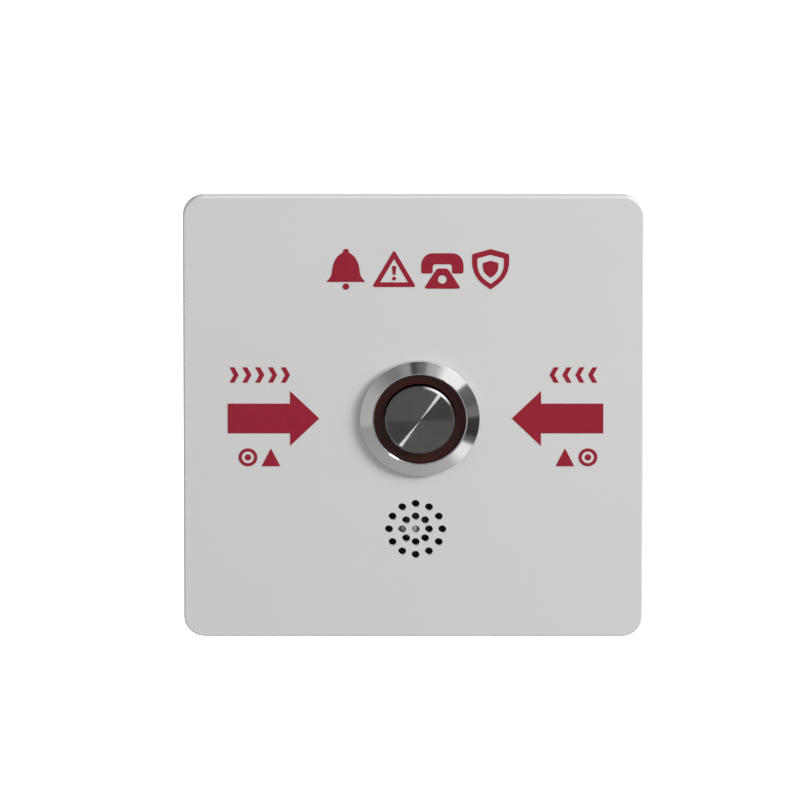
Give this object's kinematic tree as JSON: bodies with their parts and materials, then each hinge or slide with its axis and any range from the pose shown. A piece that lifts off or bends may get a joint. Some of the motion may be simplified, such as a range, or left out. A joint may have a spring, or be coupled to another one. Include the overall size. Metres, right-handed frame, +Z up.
{
  "type": "panic button",
  "caption": "Wall-mounted panic button on a flush wall box, with a lit ring push button, a sounder behind a hole pattern and a screw terminal.",
  "frame": {"origin": "midpoint between the two wall screws, on the wall plane", "axes": "+Y into the wall, +Z up, +X to the right as seen from the front, which faces -Y"},
  "size_m": [0.086, 0.0432, 0.086],
  "materials": {
    "panel_coat": "pale grey powder coat",
    "print_ink": "crimson screen print",
    "black_foam": "closed-cell foam",
    "zinc_steel": "zinc-plated sheet",
    "screw_steel": "plated screw",
    "housing_plastic": "moulded, fine grain",
    "board_laminate": "solder mask",
    "terminal_plastic": "moulded",
    "relay_plastic": "moulded case",
    "capacitor_can": "shrink sleeve",
    "chip_resin": "moulded resin",
    "polished_steel": "polished stainless",
    "black_rubber": "moulded rubber",
    "nickel_plate": "nickel-plated",
    "ring_lens": "tinted translucent lens",
    "turned_cap": "fine turned, dark",
    "switch_plastic": "moulded",
    "spring_steel": "drawn wire",
    "lamp_resin": "clear resin over phosphor",
    "contact_brass": "tinned brass",
    "speaker_film": "pressed film",
    "coil_copper": "enamelled wire",
    "speaker_basket": "moulded",
    "magnet_nickel": "nickel-plated"
  },
  "bodies": {
    "cover": {"front_cover": "panel_coat", "printed_arrows": "print_ink", "printed_symbols": "print_ink", "wall_gasket": "black_foam", "mounting_frame": "zinc_steel", "security_screws": "screw_steel", "rear_housing": "housing_plastic", "housing_screws": "screw_steel", "circuit_board": "board_laminate", "board_screws": "screw_steel", "terminal_block": "terminal_plastic", "terminal_screws": "screw_steel", "relay": "relay_plastic", "capacitors": "capacitor_can", "control_chip": "chip_resin", "bezel_body": "polished_steel", "panel_seal": "black_rubber", "lock_washer": "nickel_plate", "lock_nut": "nickel_plate", "light_ring": "ring_lens", "plunger_seal": "black_rubber", "return_spring": "spring_steel", "lamp_board": "board_laminate", "lamp_chips": "lamp_resin", "lamp_pins": "contact_brass", "switch_housing": "switch_plastic", "terminal_base": "switch_plastic", "fixed_contacts": "contact_brass", "speaker_gasket": "black_foam", "speaker_diaphragm": "speaker_film", "voice_coil": "coil_copper", "speaker_frame": "speaker_basket", "speaker_yoke": "zinc_steel", "speaker_magnet": "magnet_nickel", "speaker_strap": "zinc_steel", "strap_screws": "screw_steel", "speaker_pins": "contact_brass"},
    "push_cap": {"press_cap": "turned_cap", "plunger": "switch_plastic", "plunger_clip": "spring_steel", "moving_contact": "contact_brass"}
  },
  "joints": [
    {"name": "button_press", "type": "slide", "parent": "cover", "child": "push_cap", "axis": [0, 1, 0], "range_m": [0, 0.0018], "stiffness_N_per_m": 600, "springref_m": -0.0025, "deforming": ["return_spring"]}
  ]
}
